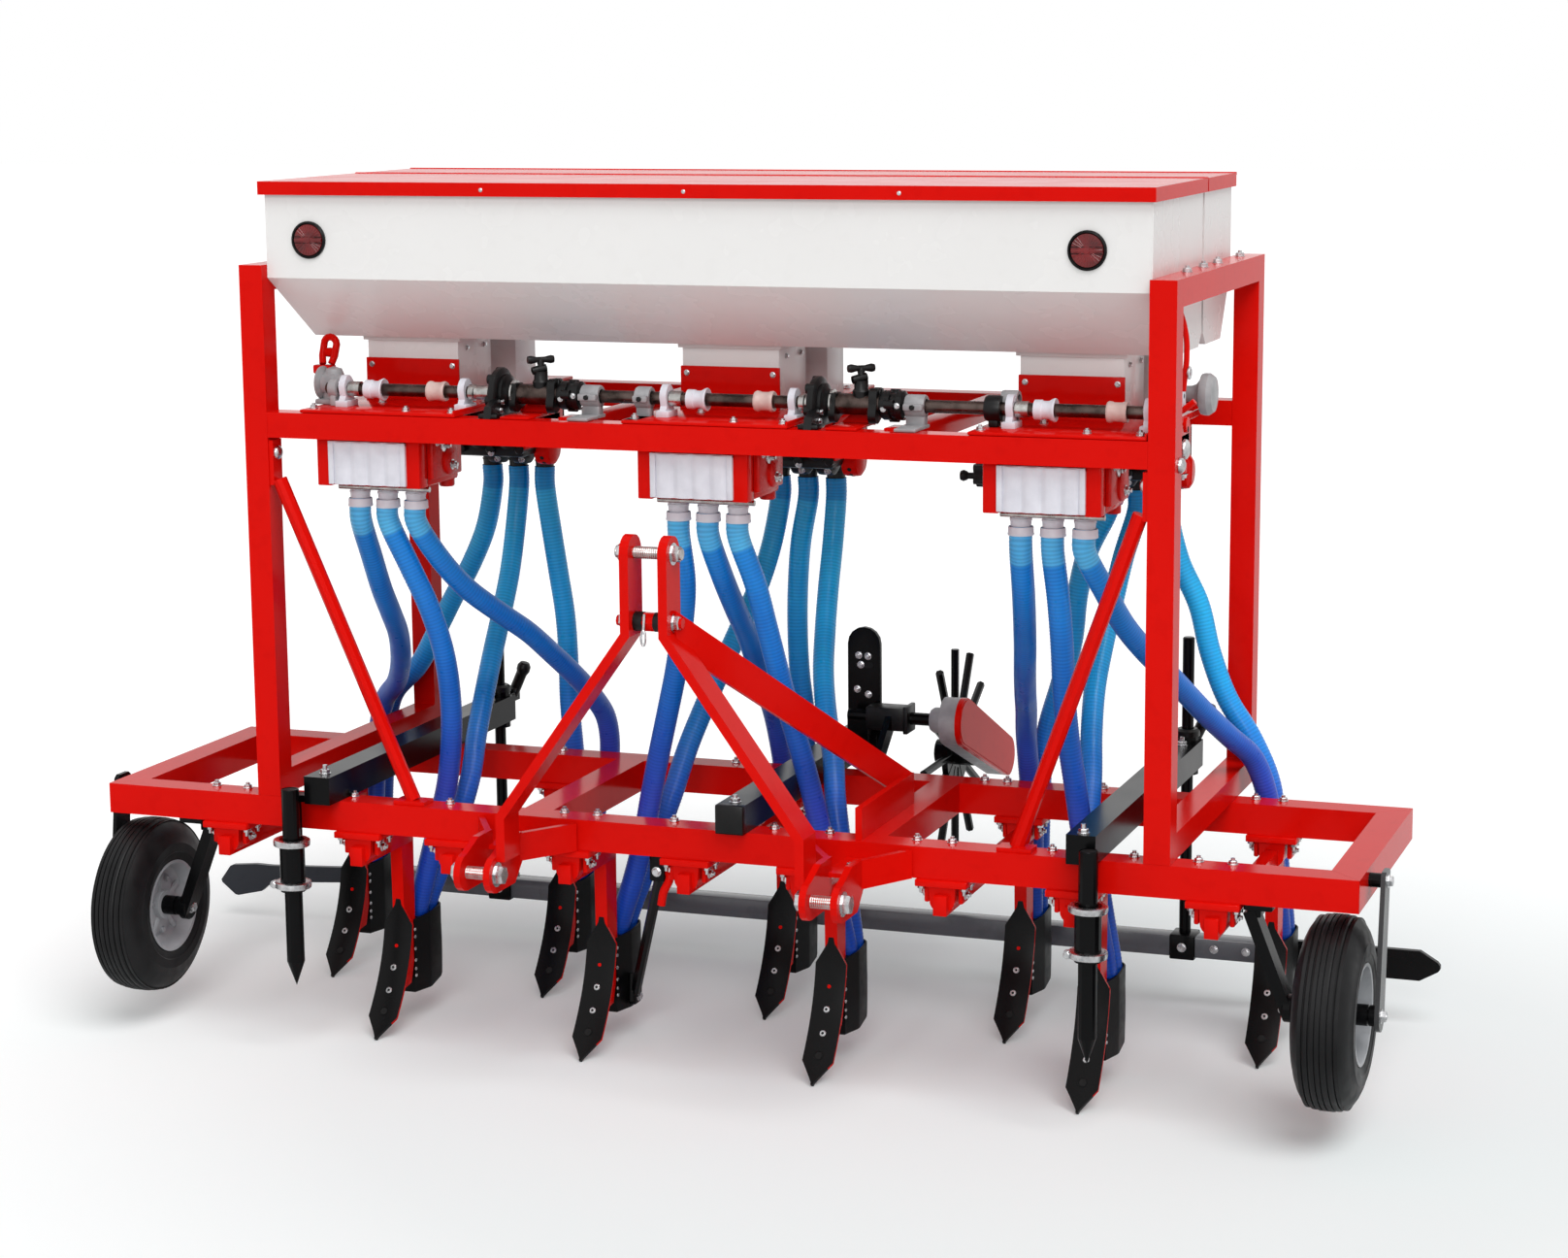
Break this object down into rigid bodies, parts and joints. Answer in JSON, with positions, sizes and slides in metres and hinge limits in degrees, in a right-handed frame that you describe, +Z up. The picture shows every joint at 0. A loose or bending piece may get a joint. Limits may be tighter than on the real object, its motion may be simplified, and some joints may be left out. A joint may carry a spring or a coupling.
{
  "type": "seed planter",
  "caption": "Tractor-mounted row seed drill: steel frame with hitch, twin lidded hoppers over metering units, hoses down to tines, gauge wheels, drive wheel and leveller bar.",
  "frame": {"origin": "middle of the machine's outline on the ground that its tine points stand on", "axes": "+X along the beams, towards the side that has the hand knob; +Y to the rear, away from the tractor; +Z up"},
  "size_m": [2.5374, 1.335, 1.5547],
  "materials": {
    "red_paint": "gloss",
    "white_paint": "gloss",
    "black_paint": "satin",
    "grey_paint": "satin",
    "dark_steel": "satin",
    "blue_hose": "ribbed, slightly translucent",
    "rubber": "matt rubber on a grey painted rim"
  },
  "bodies": {
    "frame": {"front_beam": "red_paint", "rear_beam": "red_paint", "end_beam_left": "red_paint", "end_beam_right": "red_paint", "cross_tube_left": "red_paint", "cross_tube_right": "red_paint", "side_frame_left": "red_paint", "side_frame_right": "red_paint", "mid_rail_front": "red_paint", "mid_rail_rear": "red_paint", "corner_brace_left": "red_paint", "corner_brace_right": "red_paint", "front_tank": "white_paint", "rear_tank": "white_paint", "front_meter_1": "red_paint", "front_meter_2": "red_paint", "front_meter_3": "red_paint", "rear_meter_1": "black_paint", "rear_meter_2": "black_paint", "rear_meter_3": "black_paint", "clutch_1": "black_paint", "clutch_2": "black_paint", "seed_tubes_1": "blue_hose", "seed_tubes_2": "blue_hose", "seed_tubes_3": "blue_hose", "seed_tubes_4": "blue_hose", "seed_tubes_5": "blue_hose", "seed_tubes_6": "blue_hose", "seed_tubes_7": "blue_hose", "seed_tubes_8": "blue_hose", "seed_tubes_9": "blue_hose", "tine_1": "red_paint", "tine_2": "red_paint", "tine_3": "red_paint", "tine_4": "red_paint", "tine_5": "red_paint", "tine_6": "red_paint", "tine_7": "red_paint", "tine_8": "red_paint", "tine_9": "red_paint", "lower_bracket_left": "red_paint", "lower_bracket_right": "red_paint", "a_frame": "red_paint", "wheel_fork_left": "black_paint", "wheel_fork_right": "black_paint", "stand_arm_left": "black_paint", "stand_arm_right": "black_paint", "drive_carrier": "black_paint"},
    "front_lid": {"front_lid": "red_paint"},
    "rear_lid": {"rear_lid": "red_paint"},
    "feed_shaft": {"feed_shaft": "dark_steel"},
    "clamp_knob_1": {"clamp_knob_1": "black_paint"},
    "clamp_knob_2": {"clamp_knob_2": "black_paint"},
    "gauge_wheel_left": {"gauge_wheel_left": "rubber"},
    "gauge_wheel_right": {"gauge_wheel_right": "rubber"},
    "parking_stand_left": {"parking_stand_left": "black_paint"},
    "parking_stand_right": {"parking_stand_right": "black_paint"},
    "leveller": {"leveller_bar": "grey_paint"},
    "drive_arm": {"drive_arm": "red_paint"},
    "drive_wheel": {"drive_wheel": "black_paint"}
  },
  "joints": [
    {"name": "front_lid_hinge", "type": "hinge", "parent": "frame", "child": "front_lid", "pos_m": [0.07725, -0.0555, 1.5518], "axis": [-1, 0, 0], "range_deg": [0, 100]},
    {"name": "rear_lid_hinge", "type": "hinge", "parent": "frame", "child": "rear_lid", "pos_m": [0.07725, 0.1715, 1.5518], "axis": [-1, 0, 0], "range_deg": [0, 100]},
    {"name": "feed_shaft_spin", "type": "hinge", "parent": "frame", "child": "feed_shaft", "pos_m": [0.07725, -0.3575, 1.187], "axis": [1, 0, 0], "continuous": true},
    {"name": "clamp_knob_1_turn", "type": "hinge", "parent": "frame", "child": "clamp_knob_1", "pos_m": [-0.22275, -0.3575, 1.2273], "axis": [0, 0, 1], "continuous": true},
    {"name": "clamp_knob_2_turn", "type": "hinge", "parent": "frame", "child": "clamp_knob_2", "pos_m": [0.36225, -0.3575, 1.2273], "axis": [0, 0, 1], "continuous": true},
    {"name": "gauge_wheel_left_spin", "type": "hinge", "parent": "frame", "child": "gauge_wheel_left", "pos_m": [-1.02775, -0.3825, 0.217], "axis": [1, 0, 0], "continuous": true},
    {"name": "gauge_wheel_right_spin", "type": "hinge", "parent": "frame", "child": "gauge_wheel_right", "pos_m": [1.18225, -0.3825, 0.217], "axis": [1, 0, 0], "continuous": true},
    {"name": "parking_stand_left_slide", "type": "slide", "parent": "frame", "child": "parking_stand_left", "axis": [0, 0, 1], "range_m": [-0.12, 0.05]},
    {"name": "parking_stand_right_slide", "type": "slide", "parent": "frame", "child": "parking_stand_right", "axis": [0, 0, 1], "range_m": [-0.12, 0.05]},
    {"name": "leveller_slide", "type": "slide", "parent": "frame", "child": "leveller", "axis": [0, 0, 1], "range_m": [-0.08, 0.08]},
    {"name": "drive_arm_swing", "type": "hinge", "parent": "frame", "child": "drive_arm", "pos_m": [0.36725, 0.1725, 0.54], "axis": [1, 0, 0], "range_deg": [-15, 20]},
    {"name": "drive_wheel_spin", "type": "hinge", "parent": "drive_arm", "child": "drive_wheel", "pos_m": [0.27725, 0.4625, 0.415], "axis": [1, 0, 0], "continuous": true}
  ],
  "couplings": [
    {"joint": "feed_shaft_spin", "follows": "drive_wheel_spin", "ratio": 0.5}
  ]
}
